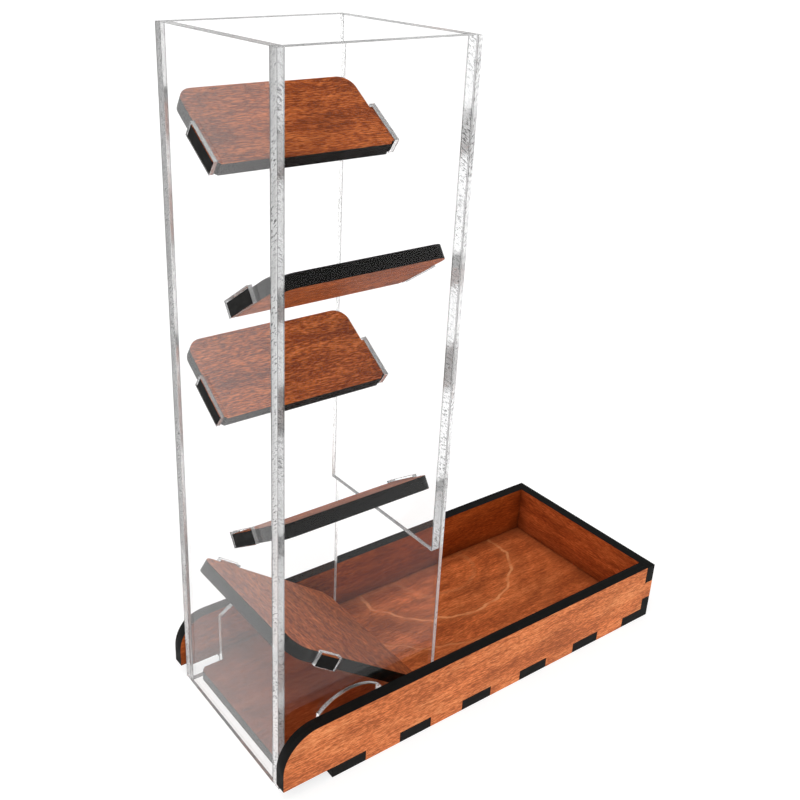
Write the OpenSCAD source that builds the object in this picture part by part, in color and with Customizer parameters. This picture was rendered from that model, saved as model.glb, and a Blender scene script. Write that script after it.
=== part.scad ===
// Dice tower: a clear acrylic shaft, open at the top, with four sloping
// plywood baffles and an exit ramp, standing in the open end of a
// finger-jointed plywood rolling tray.
// +Z is up, +X runs from the shaft towards the tray's end wall, which is the
// way the dice roll out, and +Y is to the left of that. The origin is on the
// table, under the middle of the tray.

/* [Tower] */
// Height of the shaft above the table
tower_h = 305; // [280:1:340]
// Outside width of the shaft, across the tray
tower_w = 85; // [82:0.5:96]
// Outside depth of the shaft, along the tray
tower_d = 84; // [80:0.5:92]
// Thickness of the acrylic sheet
acrylic_t = 4.6; // [4:0.1:5]
// Height of the dice exit below the front panel
exit_h = 91; // [84:1:98]

/* [Feet] */
// Length of each back foot along the tray
foot_l = 20.5; // [16:0.5:24]
// Width of the arch between the back and front feet
arch_w = 33.5; // [28:0.5:36]
// Height of the straight sides of the arch
arch_side_h = 30.5; // [26:0.5:34]
// Radius of the curved top of the arch
arch_r = 25; // [22:0.5:40]

/* [Plywood] */
// Thickness of the plywood
ply_t = 5.7; // [4.6:0.1:6]

/* [Baffles] */
// Slope of the baffles from level
baffle_slope = 34; // [31:1:38]
// Height of the lowest baffle's tabs above the table
baffle_z0 = 112.2; // [108:0.1:118]
// Vertical distance from one baffle to the next
baffle_pitch = 50.6; // [46:0.1:54]
// Distance from the left side panel's outside to the tabs of baffles 1 and 3
inset_left = 31.5; // [30:0.1:34]
// Distance from the right side panel's outside to the tabs of baffles 2 and 4
inset_right = 26.8; // [26.8:0.1:32]
// Length of baffles 1 and 3 above the middle of their tabs
up_left = 27.8; // [22:0.2:28]
// Length of baffles 2 and 4 above the middle of their tabs
up_right = 24.4; // [20:0.2:24.4]
// Length of a baffle below the middle of its tabs
baffle_down = 11; // [10.6:0.2:16]
// Length of each baffle tab, along the slope
tab_l = 19; // [12:0.5:20]
// Radius of the two upper corners of a baffle
baffle_r = 6.5; // [3:0.5:10]

/* [Ramp] */
// Slope of the exit ramp from level
ramp_slope = 36; // [32:1:38]
// Distance of the ramp's tabs from the back of the shaft
ramp_tab_x = 24.5; // [24:0.1:26]
// Height of the ramp's tabs above the table
ramp_tab_z = 57; // [55:0.5:62]
// Length of the ramp above the middle of its tabs
ramp_up = 18.5; // [12:0.5:19]
// Length of the ramp below the middle of its tabs
ramp_down = 64; // [50:1:66]
// Length of each ramp tab, along the slope
ramp_tab_l = 11; // [8:0.5:14]
// Radius of the corners of the ramp
ramp_r = 7; // [2:0.5:10]

/* [Slots] */
// Gap above a tab in its slot
slot_gap = 1; // [0.2:0.1:1.5]
// Gap at each end of a tab in its slot
slot_end_gap = 0.8; // [0.2:0.1:1.5]
// Distance of a tab's end below the outside of its panel
tab_recess = 0.3; // [0:0.1:2]

/* [Tray] */
// Length of the tray
tray_l = 231; // [219:1:260]
// Height of the tray walls
wall_h = 32.3; // [28:0.1:38]
// Gap between the shaft and each tray wall
tray_gap = 1.6; // [0.4:0.1:2.5]
// Distance from the open end of the tray walls to the back of the shaft
tower_setback = 2; // [0:0.1:6]
// Radius of the walls' top corners at the open end
wall_r = 18; // [8:1:24]
// Distance from the back of the shaft to the end of the tray floor
floor_setback = 8.4; // [6.5:0.1:12]
// Length of the floor's fingers
finger_l = 18; // [14:0.5:20]
// Distance from the first floor finger to the next
finger_pitch = 37.2; // [34:0.2:37.2]
// Chamfer on the floor's corners beside the back feet
floor_chamfer = 2; // [0.5:0.5:3]

/* [Hidden] */
$fn = 96;

tray_w = tower_w + 2 * (tray_gap + ply_t);
x_open = -tray_l / 2;               // open end of the tray walls
x_end = tray_l / 2;                 // closed end of the tray
x_back = x_open + tower_setback;    // back of the shaft
x_front = x_back + tower_d;         // front of the shaft
x_mid = (x_back + x_front) / 2;
y_side = tower_w / 2;               // outside of a side panel
y_wall = tray_w / 2;                // outside of a tray wall
inner_d = tower_d - 2 * acrylic_t;
inner_w = tower_w - 2 * acrylic_t;
glue = 0.05;                        // glue line at each end of the back and front panels
foot_gap = 0.1;                     // gap between the front feet and the tray floor
seat = 0.1;                         // fitting gap under a tab
side_gap = 0.15;                    // gap between a plate and the panels
finger_0 = 25;                    // open end to the first floor finger
finger_n = 6;
end_finger_l = 18;
join_z1 = 0.38 * wall_h;     // corner fingers of the end wall
join_z2 = 0.695 * wall_h;

// A rectangle with its upper corners rounded and its lower corners cut.
module plate_outline(w, up, down, r, cut) {
    difference() {
        translate([-w / 2, -down]) square([w, up + down]);
        for (s = [-1, 1]) {
            translate([s > 0 ? w / 2 - r : -w / 2 - 1, up - r])
                square([r + 1, r + 1]);
            polygon([[s * (w / 2 - cut), -down - 1], [s * (w / 2 - cut), -down],
                     [s * w / 2, -down + cut], [s * (w / 2 + 1), -down + cut],
                     [s * (w / 2 + 1), -down - 1]]);
        }
    }
    for (s = [-1, 1]) translate([s * (w / 2 - r), up - r]) intersection() {
        circle(r);
        translate([s > 0 ? 0 : -r, 0]) square([r, r]);
    }
}

// A plate lying level, its tabs at the origin, its upper end towards +Y.
module plate(w, reach, up, down, r, cut, tab) {
    translate([0, 0, -ply_t / 2]) linear_extrude(ply_t) union() {
        plate_outline(w, up, down, r, cut);
        translate([-reach, -tab / 2]) square([2 * reach, tab]);
    }
}

// The slot that a tab passes through, long enough to cut both panels.
module slot(reach, tab) {
    translate([-reach, -tab / 2 - slot_end_gap, -ply_t / 2 - seat])
        cube([2 * reach, tab + 2 * slot_end_gap, ply_t + seat + slot_gap]);
}

function lean_of(i) = (i % 2 == 1) ? 1 : -1;

// Place of baffle i, counted from the top. Odd baffles lean on the left side.
module at_baffle(i) {
    lean = lean_of(i);
    inset = lean > 0 ? inset_left : inset_right;
    translate([x_mid, lean * (y_side - inset), baffle_z0 + (4 - i) * baffle_pitch])
        mirror([0, lean < 0 ? 1 : 0, 0])
            rotate([baffle_slope, 0, 0])
                children();
}

module at_ramp() {
    translate([x_back + ramp_tab_x, 0, ramp_tab_z])
        rotate([0, ramp_slope, 0]) rotate([0, 0, 90])
            children();
}

module baffle(i) {
    at_baffle(i) plate(inner_d - 2 * side_gap, tower_d / 2 - tab_recess,
                       lean_of(i) > 0 ? up_left : up_right, baffle_down, baffle_r, 1.5, tab_l);
}

module baffle_slots() {
    for (i = [1:4]) at_baffle(i) slot(tower_d, tab_l);
}

module side_outline() {
    difference() {
        square([tower_d, tower_h]);
        // front foot stands on the tray floor
        translate([foot_l + 1, -1]) square([tower_d, ply_t + foot_gap + 1]);
        // arch between the feet
        translate([foot_l, -1]) square([arch_w, arch_side_h + 1]);
        intersection() {
            translate([foot_l + arch_w / 2, arch_side_h - sqrt(arch_r * arch_r - arch_w * arch_w / 4)])
                circle(arch_r);
            translate([foot_l, arch_side_h - 1]) square([arch_w, arch_r]);
        }
    }
}

module side_panel() {
    difference() {
        translate([x_back, y_side, 0]) rotate([90, 0, 0])
            linear_extrude(acrylic_t) side_outline();
        at_ramp() slot(tower_w, ramp_tab_l);
    }
}

module back_panel() {
    color([0.93, 0.96, 0.97, 0.35]) difference() {
        translate([x_back, glue - inner_w / 2, 0])
            cube([acrylic_t, inner_w - 2 * glue, tower_h]);
        baffle_slots();
    }
}

module front_panel() {
    color([0.93, 0.96, 0.97, 0.35]) difference() {
        translate([x_front - acrylic_t, glue - inner_w / 2, exit_h])
            cube([acrylic_t, inner_w - 2 * glue, tower_h - exit_h]);
        baffle_slots();
    }
}

module side_panel_left() {
    color([0.93, 0.96, 0.97, 0.35]) side_panel();
}

module side_panel_right() {
    color([0.93, 0.96, 0.97, 0.35]) mirror([0, 1, 0]) side_panel();
}

module baffle_1() { color([0.62, 0.33, 0.2]) baffle(1); }
module baffle_2() { color([0.62, 0.33, 0.2]) baffle(2); }
module baffle_3() { color([0.62, 0.33, 0.2]) baffle(3); }
module baffle_4() { color([0.62, 0.33, 0.2]) baffle(4); }

module exit_ramp() {
    // the ramp's low end is square to the plate, its top end is rounded
    color([0.6, 0.32, 0.2]) at_ramp()
        plate(inner_w - 2 * side_gap, tower_w / 2 - tab_recess,
              ramp_up, ramp_down, ramp_r, 4, ramp_tab_l);
}

module wall_outline() {
    difference() {
        translate([x_open, 0]) square([tray_l, wall_h]);
        // rounded top corner at the open end
        difference() {
            translate([x_open - 1, wall_h - wall_r]) square([wall_r + 1, wall_r + 1]);
            translate([x_open + wall_r, wall_h - wall_r]) circle(wall_r);
        }
        // bottom edge clear of the table up to the first floor finger
        translate([x_open - 1, -1]) square([finger_0 + 2, ply_t + 1]);
        for (i = [0:finger_n - 1])
            translate([x_open + finger_0 + i * finger_pitch, -1])
                square([i == finger_n - 1 ? tray_l : finger_l, ply_t + 1]);
        // corner fingers of the end wall
        translate([x_end - ply_t, join_z2]) square([ply_t + 1, wall_h]);
        translate([x_end - ply_t, -1]) square([ply_t + 1, join_z1 + 1]);
    }
}

module tray_wall() {
    translate([0, y_wall, 0]) rotate([90, 0, 0]) linear_extrude(ply_t) wall_outline();
}

module tray_wall_left() { color([0.72, 0.37, 0.2]) tray_wall(); }
module tray_wall_right() { color([0.72, 0.37, 0.2]) mirror([0, 1, 0]) tray_wall(); }

module tray_end_wall() {
    color([0.72, 0.37, 0.2]) translate([x_end - ply_t, 0, 0])
        rotate([90, 0, 90]) linear_extrude(ply_t) difference() {
            translate([-y_wall, 0]) square([tray_w, wall_h]);
            for (s = [-1, 1])
                translate([s > 0 ? y_wall - ply_t : -y_wall - 1, join_z1])
                    square([ply_t + 1, join_z2 - join_z1]);
            for (y = [-y_wall + end_finger_l / 2, 0, y_wall - end_finger_l / 2])
                translate([y - end_finger_l / 2 - (y < 0 ? 1 : 0), -1])
                    square([end_finger_l + (y == 0 ? 0 : 1), ply_t + 1]);
        }
}

module floor_plate_outline() {
    x0 = x_back + floor_setback;
    notch_x = x_back + foot_l + 0.4;
    y_in = y_wall - ply_t;
    y_notch = y_side - acrylic_t - 0.5;
    c = floor_chamfer;
    polygon([[x0 + c, -y_notch], [x0, -y_notch + c], [x0, y_notch - c], [x0 + c, y_notch],
             [notch_x, y_notch], [notch_x, y_in], [x_end - ply_t, y_in],
             [x_end - ply_t, -y_in], [notch_x, -y_in], [notch_x, -y_notch]]);
}

module tray_floor() {
    color([0.7, 0.34, 0.18]) union() {
        linear_extrude(ply_t) floor_plate_outline();
        // fingers under the side walls
        for (i = [0:finger_n - 1], s = [-1, 1])
            translate([x_open + finger_0 + i * finger_pitch,
                       s > 0 ? y_wall - ply_t - 2 : -y_wall, 0])
                cube([i == finger_n - 1 ? tray_l - finger_0 - i * finger_pitch : finger_l,
                      ply_t + 2, ply_t]);
        // fingers under the end wall
        for (y = [-y_wall + end_finger_l / 2, 0, y_wall - end_finger_l / 2])
            translate([x_end - ply_t - 3, y - end_finger_l / 2, 0])
                cube([ply_t + 3, end_finger_l, ply_t]);
    }
}

back_panel();
front_panel();
side_panel_right();
side_panel_left();
baffle_1();
baffle_2();
baffle_3();
baffle_4();
exit_ramp();
tray_floor();
tray_wall_right();
tray_wall_left();
tray_end_wall();
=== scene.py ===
import math
import bpy
import bmesh
from mathutils import Matrix, Vector


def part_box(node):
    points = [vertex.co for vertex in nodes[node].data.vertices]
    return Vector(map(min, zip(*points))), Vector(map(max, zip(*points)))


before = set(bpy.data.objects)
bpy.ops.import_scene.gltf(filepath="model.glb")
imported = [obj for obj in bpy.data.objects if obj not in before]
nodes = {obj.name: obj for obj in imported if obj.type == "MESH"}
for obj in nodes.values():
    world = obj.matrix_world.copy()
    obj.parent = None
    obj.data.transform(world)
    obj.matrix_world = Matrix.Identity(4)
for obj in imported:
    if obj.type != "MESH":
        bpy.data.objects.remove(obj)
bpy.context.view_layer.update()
scene = bpy.context.scene


def node_box(name):
    lo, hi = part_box(name)
    return Vector(lo), Vector(hi)


tower_lo = Vector([min(node_box(n)[0][i] for n in ("back_panel", "side_panel_right", "side_panel_left")) for i in range(3)])
tower_hi = Vector([max(node_box(n)[1][i] for n in ("back_panel", "side_panel_right", "side_panel_left", "front_panel")) for i in range(3)])
ply = node_box("tray_floor")[1].z
wall_h = node_box("tray_end_wall")[1].z

# ---------------------------------------------------------------- camera
cam_data = bpy.data.cameras.new("camera")
cam = bpy.data.objects.new("camera", cam_data)
scene.collection.objects.link(cam)
scene.camera = cam
cam_data.sensor_width = 36.0
cam_data.lens = 36.0 * 1015.79 / 800.0
cam_data.shift_x = (400.0 - 331.35) / 800.0
cam_data.shift_y = (371.45 - 400.0) / 800.0
cam_data.clip_start = 0.01
cam_data.clip_end = 100.0
az, el, roll = math.radians(35.0676), math.radians(-24.5317), math.radians(1.2859)
fw = Vector((math.cos(el) * math.sin(az), math.cos(el) * math.cos(az), math.sin(el)))
right = fw.cross(Vector((0, 0, 1))).normalized()
up = right.cross(fw)
cx = math.cos(roll) * right + math.sin(roll) * up
cy = -math.sin(roll) * right + math.cos(roll) * up
m = Matrix((cx, cy, -fw)).transposed().to_4x4()
m.translation = Vector((tower_lo.x - 0.169246, tower_lo.y - 0.273578, 0.343869))
cam.matrix_world = m

# ---------------------------------------------------------------- stage
world = bpy.data.worlds.new("studio")
scene.world = world
world.use_nodes = True
wt = world.node_tree
bg = wt.nodes["Background"]
# a white room: the walls are bright at the horizon and the ceiling is dimmer
sky = wt.nodes.new("ShaderNodeTexCoord")
sep = wt.nodes.new("ShaderNodeSeparateXYZ")
fade = wt.nodes.new("ShaderNodeMapRange")
fade.interpolation_type = "SMOOTHSTEP"
for i, x in enumerate((0.06, 0.3, 1.0, 0.32)):
    fade.inputs[1 + i].default_value = x
wt.links.new(sky.outputs["Generated"], sep.inputs[0])
wt.links.new(sep.outputs["Z"], fade.inputs[0])
wt.links.new(fade.outputs[0], bg.inputs["Strength"])
bg.inputs["Color"].default_value = (1.0, 1.0, 1.0, 1.0)
scene.view_settings.view_transform = "Standard"
scene.view_settings.look = "None"
scene.cycles.use_denoising = True
scene.cycles.max_bounces = 32
scene.cycles.transmission_bounces = 28
scene.cycles.transparent_max_bounces = 16
scene.cycles.glossy_bounces = 10
scene.cycles.caustics_refractive = True
scene.cycles.blur_glossy = 0.3
scene.cycles.sample_clamp_indirect = 4.0


def overhead(name, direction, angle, strength, color=(1, 1, 1)):
    """A very large soft box overhead: a distant lamp with a wide disc."""
    d = bpy.data.lights.new(name, "SUN")
    d.angle = math.radians(angle)
    d.energy = strength
    d.color = color
    o = bpy.data.objects.new(name, d)
    scene.collection.objects.link(o)
    o.rotation_euler = Vector(direction).to_track_quat("Z", "Y").to_euler()
    return o


overhead("soft_box", (-0.5, -0.22, 1.0), 80.0, 1.75, (1.0, 0.99, 0.975))


# ---------------------------------------------------------------- node helper
class Tree:
    def __init__(self, name):
        self.mat = bpy.data.materials.new(name)
        self.mat.use_nodes = True
        self.t = self.mat.node_tree
        self.t.nodes.clear()
        self.out = self.t.nodes.new("ShaderNodeOutputMaterial")

    def node(self, kind, **inputs):
        n = self.t.nodes.new(kind)
        for k, v in inputs.items():
            if hasattr(n, k) and k not in n.inputs:
                setattr(n, k, v)
        return n

    def put(self, socket, value):
        if isinstance(value, bpy.types.NodeSocket):
            self.t.links.new(value, socket)
        else:
            socket.default_value = value

    def math(self, op, a, b=0.0, c=0.0, clamp=False):
        n = self.t.nodes.new("ShaderNodeMath")
        n.operation = op
        n.use_clamp = clamp
        self.put(n.inputs[0], a)
        self.put(n.inputs[1], b)
        self.put(n.inputs[2], c)
        return n.outputs[0]

    def dot(self, vec, axis):
        n = self.t.nodes.new("ShaderNodeVectorMath")
        n.operation = "DOT_PRODUCT"
        self.put(n.inputs[0], vec)
        n.inputs[1].default_value = axis
        return n.outputs["Value"]

    def xyz(self, x, y, z=0.0):
        n = self.t.nodes.new("ShaderNodeCombineXYZ")
        self.put(n.inputs[0], x)
        self.put(n.inputs[1], y)
        self.put(n.inputs[2], z)
        return n.outputs[0]

    def noise(self, vec, scale=1.0, detail=4.0, rough=0.55, distortion=0.0):
        n = self.t.nodes.new("ShaderNodeTexNoise")
        self.put(n.inputs["Vector"], vec)
        n.inputs["Scale"].default_value = scale
        n.inputs["Detail"].default_value = detail
        n.inputs["Roughness"].default_value = rough
        n.inputs["Distortion"].default_value = distortion
        return n.outputs[0]

    def ramp(self, fac, stops, mode="LINEAR"):
        n = self.t.nodes.new("ShaderNodeValToRGB")
        n.color_ramp.interpolation = mode
        el = n.color_ramp.elements
        while len(el) < len(stops):
            el.new(0.5)
        for e, (p, c) in zip(el, stops):
            e.position = p
            e.color = (c, c, c, 1.0) if isinstance(c, float) else (*c, 1.0)
        self.put(n.inputs[0], fac)
        return n.outputs[0]

    def range(self, v, a, b, c=0.0, d=1.0, smooth=True):
        n = self.t.nodes.new("ShaderNodeMapRange")
        n.interpolation_type = "SMOOTHSTEP" if smooth else "LINEAR"
        self.put(n.inputs[0], v)
        for i, x in enumerate((a, b, c, d)):
            n.inputs[1 + i].default_value = x
        return n.outputs[0]

    def mix(self, fac, a, b, mode="MIX"):
        n = self.t.nodes.new("ShaderNodeMix")
        n.data_type = "RGBA"
        n.blend_type = mode
        self.put(n.inputs["Factor"], fac)
        for s, v in ((n.inputs[6], a), (n.inputs[7], b)):
            self.put(s, (*v, 1.0) if isinstance(v, tuple) and len(v) == 3 else v)
        return n.outputs[2]

    def bump(self, height, strength, distance, normal=None):
        n = self.t.nodes.new("ShaderNodeBump")
        n.inputs["Strength"].default_value = strength
        n.inputs["Distance"].default_value = distance
        self.put(n.inputs["Height"], height)
        if normal is not None:
            self.put(n.inputs["Normal"], normal)
        return n.outputs[0]

    def principled(self, **inputs):
        n = self.t.nodes.new("ShaderNodeBsdfPrincipled")
        for k, v in inputs.items():
            self.put(n.inputs[k.replace("_", " ")], v)
        return n

    def finish(self, shader):
        self.t.links.new(shader, self.out.inputs["Surface"])
        return self.mat


def coords(t, origin):
    """Object coordinates, in metres from origin."""
    tc = t.t.nodes.new("ShaderNodeTexCoord")
    sub = t.t.nodes.new("ShaderNodeVectorMath")
    sub.operation = "SUBTRACT"
    t.t.links.new(tc.outputs["Object"], sub.inputs[0])
    sub.inputs[1].default_value = origin
    return sub.outputs[0], tc.outputs["Normal"]


# ---------------------------------------------------------------- wood
def wood(name, origin, grain, cross, seed, tone, figure=None, speckle=1.0, shaded_joints=(), margin=(), painted_shade=()):
    """Stained plywood: birch veneer on the faces, charred laser-cut edges.
    grain and cross lie in the sheet. figure is (centre along, centre across, half length, half width)
    of the veneer's curved figure in mm. The joint list holds (axis, offset in mm) of the glued joints, where
    painted shade darkens the inside corner and a thin dark line marks the joint itself, and margin (axis, offset
    in mm) half-planes whose rim is scorched."""
    g, c = Vector(grain).normalized(), Vector(cross).normalized()
    nrm = g.cross(c)
    t = Tree(name)
    p, n_obj = coords(t, origin)
    G = t.dot(p, g * 1000.0)
    C = t.dot(p, c * 1000.0)
    N = t.dot(p, nrm * 1000.0)

    def scaled(v, k):
        return t.math("MULTIPLY", v, 1.0 / k)

    # slow wander of the grain lines
    wander = t.noise(t.xyz(scaled(G, 48.0), scaled(C, 30.0), float(seed)), 1.0, 3.0, 0.5)
    Cw = t.math("ADD", C, t.math("MULTIPLY", t.math("SUBTRACT", wander, 0.5), 4.5))
    # growth bands, mottled streaks, fine fibres and pores
    bands = t.noise(t.xyz(scaled(G, 75.0), scaled(Cw, 8.0), seed + 3.1), 1.0, 3.0, 0.55)
    mott = t.noise(t.xyz(scaled(G, 6.5), scaled(Cw, 1.5), seed + 5.9), 1.0, 4.0, 0.65)
    streak = t.noise(t.xyz(scaled(G, 5.5), scaled(Cw, 0.5), seed + 7.7), 1.0, 3.0, 0.66)
    fibre = t.noise(t.xyz(scaled(G, 2.4), scaled(Cw, 0.55), seed + 11.3), 1.0, 2.0, 0.6)
    pore = t.noise(t.xyz(scaled(G, 1.3), scaled(Cw, 0.26), seed + 13.9), 1.0, 1.0, 0.5)
    blotch = t.noise(t.xyz(scaled(G, 30.0), scaled(C, 20.0), seed + 17.9), 1.0, 3.0, 0.55)

    def weighted(pairs):
        out = None
        for v, w in pairs:
            x = t.math("MULTIPLY", t.math("SUBTRACT", v, 0.5), w)
            out = x if out is None else t.math("ADD", out, x)
        return t.math("ADD", out, 0.5)

    dark, mid, light = tone
    tonal = weighted(((bands, 0.42), (mott, 0.28), (streak, 0.32 + 0.28 * speckle), (fibre, 0.85 * speckle)))
    col = t.ramp(tonal, [(0.26, tuple(x * 0.82 for x in dark)), (0.4, dark), (0.53, mid), (0.7, light)])
    col = t.mix(t.math("MULTIPLY", t.range(pore, 0.6, 0.76), 0.34 * speckle), col, tuple(x * 0.5 for x in dark))
    col = t.mix(0.8, col, t.ramp(blotch, [(0.3, 0.8), (0.5, 1.0), (0.72, 1.15)]), "MULTIPLY")
    if figure:
        g0, c0, a, b = figure
        warp = t.noise(t.xyz(scaled(G, 26.0), scaled(C, 17.0), seed + 23.0), 1.0, 4.0, 0.55)
        dg = t.math("MULTIPLY", t.math("SUBTRACT", G, g0), 1.0 / a)
        dc = t.math("MULTIPLY", t.math("SUBTRACT", C, c0), 1.0 / b)
        rad = t.math("SQRT", t.math("ADD", t.math("MULTIPLY", dg, dg), t.math("MULTIPLY", dc, dc)))
        rad = t.math("ADD", rad, t.math("MULTIPLY", t.math("SUBTRACT", warp, 0.5), 0.27))
        # growth bands follow the figure
        swirl = t.noise(t.xyz(t.math("MULTIPLY", rad, 4.6), scaled(G, 70.0), seed + 31.0), 1.0, 4.0, 0.6)
        col = t.mix(0.75, col, t.ramp(swirl, [(0.3, 0.72), (0.5, 1.0), (0.7, 1.24)]), "MULTIPLY")
        lit = tuple(min(1.0, x * 1.35 + 0.05) for x in light)
        for at, width, amount in ((1.0, 0.026, 0.7), (1.5, 0.02, 0.45), (0.52, 0.05, 0.14), (2.1, 0.03, 0.3)):
            near = t.math("ABSOLUTE", t.math("SUBTRACT", rad, at))
            broken = t.range(t.noise(t.xyz(scaled(G, 11.0), scaled(C, 11.0), seed + 29.0 + at * 10.0), 1.0, 2.0, 0.5), 0.32, 0.56, 0.3, 1.0)
            line = t.math("MULTIPLY", t.range(near, width * 0.25, width, amount, 0.0), broken)
            if at == 1.5:
                line = t.math("MULTIPLY", line, t.range(G, g0 - 10.0, g0 + 2.0, 1.0, 0.0))
            col = t.mix(line, col, lit)
            halo = t.range(near, 0.0, 0.16, 0.22 * amount, 0.0)
            col = t.mix(halo, col, light)
    # painted shade: darkens the tray floor under the tower and towards its far end, where shadow falls
    for clear, full, amount in painted_shade:
        soft = t.math("ADD", G, t.math("MULTIPLY", t.math("SUBTRACT", blotch, 0.5), 14.0))
        col = t.mix(t.range(soft, clear, full, 0.0, amount), col, tuple(x * 0.5 for x in dark))
    # painted shade in the inside corners along the glued joints, plus a thin dark line at each joint
    for axis, off in shaded_joints:
        d = t.math("SUBTRACT", float(off), t.dot(p, Vector(axis) * 1000.0))
        joint_wobble = t.noise(t.xyz(scaled(G, 9.0), scaled(C, 9.0), seed + 37.0), 1.0, 2.0, 0.5)
        d = t.math("ADD", d, t.math("MULTIPLY", t.math("SUBTRACT", joint_wobble, 0.5), 3.0))
        col = t.mix(t.range(d, -0.5, 11.0, 0.5, 0.0), col, tuple(x * 0.5 for x in dark))
        col = t.mix(t.range(d, -0.8, 1.6, 0.55, 0.0), col, tuple(x * 0.25 for x in dark))
    if margin:
        d = None
        for axis, off in margin:
            e = t.math("SUBTRACT", float(off), t.dot(p, Vector(axis) * 1000.0))
            d = e if d is None else t.math("MINIMUM", d, e)
        rag = t.noise(t.xyz(G, C, seed + 41.0), 0.9, 3.0, 0.6)
        d = t.math("ADD", d, t.math("MULTIPLY", t.math("SUBTRACT", rag, 0.5), 0.7))
        col = t.mix(t.range(d, 0.1, 0.9, 0.7, 0.0), col, (0.035, 0.014, 0.008))

    # charred edge: plies seen faintly, laser striations through the sheet
    along = t.math("ADD", G, C)
    stria = t.noise(t.xyz(scaled(along, 0.7), scaled(N, 6.0), seed + 53.0), 1.0, 2.0, 0.5)
    plies = t.math("SINE", t.math("MULTIPLY", N, 2 * math.pi / 2.2))
    soot = t.noise(t.xyz(scaled(along, 6.0), scaled(N, 2.5), seed + 59.0), 1.0, 3.0, 0.6)
    char = t.ramp(t.math("ADD", t.math("MULTIPLY", stria, 0.5), t.math("MULTIPLY", soot, 0.5)),
                  [(0.3, (0.003, 0.003, 0.003)), (0.55, (0.006, 0.006, 0.0058)), (0.78, (0.014, 0.013, 0.011))])
    char = t.mix(t.range(plies, 0.2, 1.0, 0.0, 0.3), char, (0.012, 0.01, 0.008))

    face = t.range(t.math("ABSOLUTE", t.dot(n_obj, nrm)), 0.72, 0.92)
    base = t.mix(face, char, col)
    edge = t.math("SUBTRACT", 1.0, face)
    rough = t.math("ADD", t.math("MULTIPLY", face, t.range(streak, 0.3, 0.7, 0.5, 0.62)),
                   t.math("MULTIPLY", edge, t.range(soot, 0.3, 0.7, 0.62, 0.8)))
    hf = t.math("ADD", t.math("MULTIPLY", streak, 0.5), t.math("MULTIPLY", fibre, 0.8))
    he = t.math("ADD", t.math("MULTIPLY", stria, 0.6), t.math("MULTIPLY", plies, 0.1))
    h = t.math("ADD", t.math("MULTIPLY", face, hf), t.math("MULTIPLY", edge, he))
    bsdf = t.principled(Base_Color=base, Roughness=rough, Normal=t.bump(h, 0.35, 0.00012))
    bsdf.inputs["Specular IOR Level"].default_value = 0.12
    return t.finish(bsdf.outputs[0])


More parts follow.
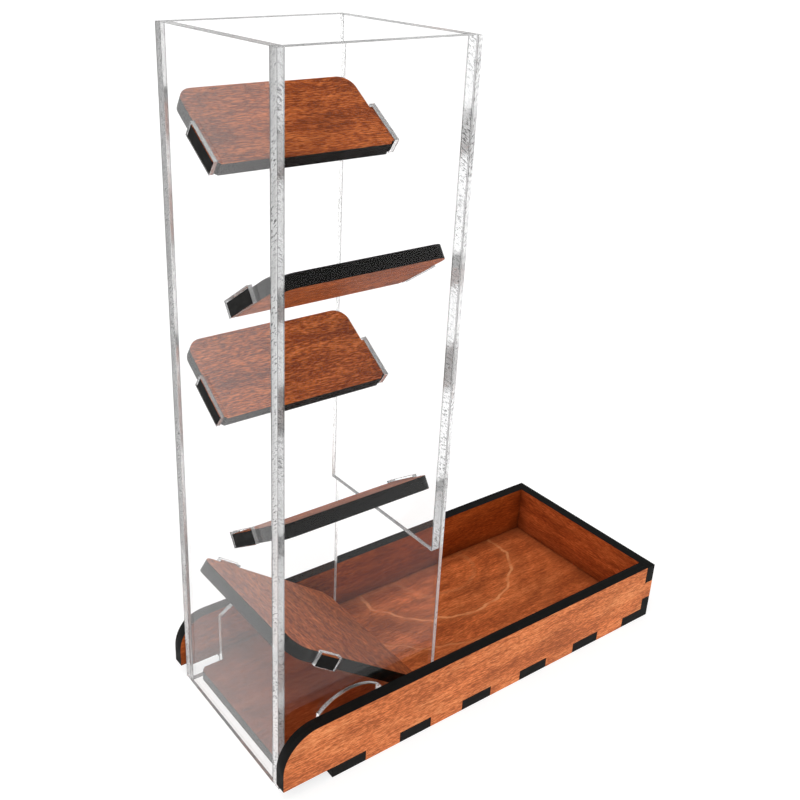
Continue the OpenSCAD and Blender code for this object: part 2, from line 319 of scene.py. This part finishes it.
# ---------------------------------------------------------------- acrylic
def acrylic(name, axis, middle, half, seed, tint, frosted, edge_grey, painted_glow):
    """Clear cast acrylic; faces across axis are polished, the rest are frosty laser-cut edges with striations.
    The glow value is a painted glow: emission on the upright cut edges that stands in for the light the sheet
    gathers and lets out there."""
    t = Tree(name)
    p, n_obj = coords(t, (0, 0, 0))
    a = Vector(axis)
    sheet = [Vector(v) for v in ((1, 0, 0), (0, 1, 0), (0, 0, 1)) if abs(Vector(v).dot(a)) < 0.5]
    along = t.math("ADD", t.dot(p, sheet[0] * 1000.0), t.dot(p, sheet[1] * 1000.0))
    thick = t.dot(p, a * 1000.0)
    cut = t.range(t.math("ABSOLUTE", t.dot(n_obj, a)), 0.9, 0.72)
    # striations run through the sheet and lean with the depth of the cut
    lean = t.math("ADD", along, t.math("MULTIPLY", thick, 0.8))
    stria = t.noise(t.xyz(t.math("MULTIPLY", lean, 1 / 0.6), t.math("MULTIPLY", thick, 1 / 5.0), float(seed)), 1.0, 2.0, 0.6)
    chips = t.noise(t.xyz(t.math("MULTIPLY", lean, 1 / 0.9), t.math("MULTIPLY", thick, 1 / 2.2), seed + 2.0), 1.0, 3.0, 0.65)
    slow = t.noise(t.xyz(t.math("MULTIPLY", along, 1 / 16.0), t.math("MULTIPLY", thick, 1 / 7.0), seed + 5.0), 1.0, 3.0, 0.6)
    hatch = t.math("MULTIPLY", t.range(chips, 0.5, 0.6), t.range(slow, 0.4, 0.6, 0.3, 1.0))
    # the arrises of a cut edge are rounded over by the heat; the dark look of these rounded arrises is painted
    # in as shade
    off = t.math("ABSOLUTE", t.math("SUBTRACT", thick, middle))
    rim = t.range(off, half - 0.75, half - 0.25)
    hatch = t.math("MAXIMUM", hatch, t.math("MULTIPLY", rim, 0.9))
    frost = t.range(slow, 0.3, 0.7, frosted * 0.8, frosted * 1.25)
    rough = t.math("MULTIPLY", cut, t.range(slow, 0.35, 0.65, 0.02, 0.1))
    h = t.math("MULTIPLY", cut, t.math("ADD", t.math("MULTIPLY", stria, 1.0), t.math("MULTIPLY", hatch, 0.6)))
    grey = t.mix(t.math("MULTIPLY", hatch, 0.75), (edge_grey, edge_grey * 1.005, edge_grey * 1.01), (0.11, 0.11, 0.113))
    base = t.mix(cut, (1.0, 1.0, 1.0), grey)
    bsdf = t.principled(Base_Color=base, Roughness=rough, Normal=t.bump(h, 0.5, 0.0002))
    t.put(bsdf.inputs["Transmission Weight"], t.math("SUBTRACT", 1.0, t.math("MULTIPLY", cut, frost)))
    bsdf.inputs["IOR"].default_value = 1.49
    if isinstance(tint, float):
        bsdf.inputs["Specular Tint"].default_value = (tint, tint, tint, 1.0)
    else:
        # painted reflection: with a pair of tints the reflection is made stronger towards the top of the sheet
        # (used on the back panel)
        high = t.dot(p, Vector((0, 0, 1000.0)))
        t.put(bsdf.inputs["Specular Tint"], t.range(high, 130.0, 285.0, *tint))
    # painted glow: the upright cut edges emit light though they are no lamp, less where the hatch is dark
    upright = t.range(t.math("ABSOLUTE", t.dot(n_obj, Vector((0, 0, 1)))), 0.2, 0.95, 1.0, 0.0)
    painted_glow_mask = t.math("MULTIPLY", t.math("MULTIPLY", cut, upright), t.math("SUBTRACT", 1.0, t.math("MULTIPLY", hatch, 0.95)))
    t.put(bsdf.inputs["Emission Color"], t.mix(painted_glow_mask, (0.0, 0.0, 0.0), (1.0, 1.0, 1.0)))
    bsdf.inputs["Emission Strength"].default_value = painted_glow
    return t.finish(bsdf.outputs[0])


def assign(name, mat):
    o = nodes[name]
    if not o.material_slots:
        o.data.materials.append(mat)
    for s in o.material_slots:
        s.material = mat


def soften(name, width, segments=2):
    o = nodes[name]
    w = o.modifiers.new("weld", "WELD")
    w.merge_threshold = 0.000002
    b = o.modifiers.new("bevel", "BEVEL")
    b.width = width
    b.segments = segments
    b.limit_method = "ANGLE"
    b.angle_limit = math.radians(35)
    b.harden_normals = True
    b.use_clamp_overlap = True


BAFFLE = ((0.185, 0.039, 0.01), (0.36, 0.084, 0.019), (0.58, 0.175, 0.05))
TRAY = ((0.22, 0.05, 0.013), (0.4, 0.103, 0.028), (0.62, 0.2, 0.07))



# scales a base tone per part: partly the part's own stain, partly painted light and shade
def stain_and_light(tone, tint):
    return tuple(tuple(min(0.95, x * k) for x, k in zip(q, tint)) for q in tone)


for i in range(1, 5):
    name = f"baffle_{i}"
    lo, hi = node_box(name)
    lean = 1 if i % 2 == 1 else -1
    s = math.radians(34)
    up_slope = Vector((0, lean * math.cos(s), math.sin(s)))
    # painted light: the lower baffles get lighter tones, standing in for light under the plates that shade them
    tone_and_light_gain = (1.2, 1.35, 1.5, 1.5)[i - 1]
    assign(name, wood(f"{name}_wood", (lo + hi) / 2, (1, 0, 0), up_slope, 10.0 * i, stain_and_light(BAFFLE, (tone_and_light_gain, tone_and_light_gain * 0.95, tone_and_light_gain * 0.85))))
    soften(name, 0.00025)
lo, hi = node_box("exit_ramp")
s = math.radians(36)
# painted light: the exit ramp's tone is raised well above the baffles', standing in for light where they shade
# it
assign("exit_ramp", wood("exit_ramp_wood", (lo + hi) / 2, (0, 1, 0), (math.cos(s), 0, -math.sin(s)), 57.0, stain_and_light(BAFFLE, (1.85, 1.9, 2.1))))
soften("exit_ramp", 0.00025)

wall_in = node_box("tray_wall_left")[1].y - ply
end_in = node_box("tray_end_wall")[0].x
mid_h = wall_h / 2
# the near wall (tray_wall_right) gets a lighter tint and the far and end walls darker ones: painted light and
# shade on top of the stain
for name, g, c, seed, fig, tint, speckle, shaded_joints in (
        ("tray_floor", (1, 0, 0), (0, 1, 0), 71.0, (38.2, 39.5, 48.0, 42.0), (1.6, 1.48, 1.42), 0.38,
         (((0, 1, 0), wall_in * 1000), ((0, -1, 0), wall_in * 1000), ((1, 0, 0), end_in * 1000))),
        ("tray_wall_right", (1, 0, 0), (0, 0, 1), 83.0, None, (1.78, 1.9, 2.1), 0.6, ()),
        ("tray_wall_left", (1, 0, 0), (0, 0, 1), 97.0, None, (1.05, 0.8, 0.45), 0.45,
         (((0, 0, -1), (mid_h - ply) * 1000), ((1, 0, 0), end_in * 1000))),
        ("tray_end_wall", (0, 1, 0), (0, 0, 1), 109.0, None, (1.25, 1.0, 0.8), 0.45,
         (((0, 0, -1), (mid_h - ply) * 1000), ((0, 1, 0), wall_in * 1000)))):
    lo, hi = node_box(name)
    mid = (lo + hi) / 2
    origin = Vector((0, 0, 0)) if name == "tray_floor" else Vector((0, mid.y, mid.z) if name == "tray_wall_left" else (mid.x, 0, mid.z) if name == "tray_end_wall" else mid)
    assign(name, wood(f"{name}_wood", origin, g, c, seed, stain_and_light(TRAY, tint),
                      figure=fig, speckle=speckle, shaded_joints=shaded_joints,
                      painted_shade=((tower_hi.x * 1000.0 + 6.0, tower_hi.x * 1000.0 - 16.0, 0.58), (48.0, 108.0, 0.33)) if name == "tray_floor" else ()))
    soften(name, 0.0002)

# the back panel's cut edges get a darker grey than the others: painted shade
for name, a, seed, tint, frosted, edge_grey, painted_glow in (("back_panel", (1, 0, 0), 3.0, (0.0, 0.62), 0.2, 0.8, 0.06),
                                                  ("front_panel", (1, 0, 0), 9.0, 0.0, 0.12, 0.95, 0.2),
                                                  ("side_panel_right", (0, 1, 0), 15.0, 0.0, 0.24, 0.98, 0.26),
                                                  ("side_panel_left", (0, 1, 0), 21.0, 0.0, 0.2, 0.98, 0.14)):
    lo, hi = node_box(name)
    k = 0 if a[0] else 1
    assign(name, acrylic(f"{name}_acrylic", a, (lo[k] + hi[k]) * 500.0, (hi[k] - lo[k]) * 500.0, seed, tint, frosted, edge_grey, painted_glow))
    soften(name, 0.00012, 1)

# ---------------------------------------------------------------- floor of the stage
me = bpy.data.meshes.new("stage_floor")
bm = bmesh.new()
bmesh.ops.create_circle(bm, cap_ends=True, segments=96, radius=9.0)
bm.to_mesh(me)
bm.free()
stage = bpy.data.objects.new("stage_floor", me)
stage.location = (0, 0, -0.0002)
scene.collection.objects.link(stage)
t = Tree("pale_floor")
p, _ = coords(t, (0, 0, 0))
b = t.principled(Base_Color=t.ramp(t.noise(p, 3.0, 3.0), [(0.3, (0.41, 0.41, 0.41)), (0.7, (0.43, 0.43, 0.43))]))
b.inputs["Roughness"].default_value = 0.9
b.inputs["Specular IOR Level"].default_value = 0.1
b.inputs["Emission Color"].default_value = (1.0, 1.0, 1.0, 1.0)
b.inputs["Emission Strength"].default_value = 0.74
me.materials.append(t.finish(b.outputs[0]))
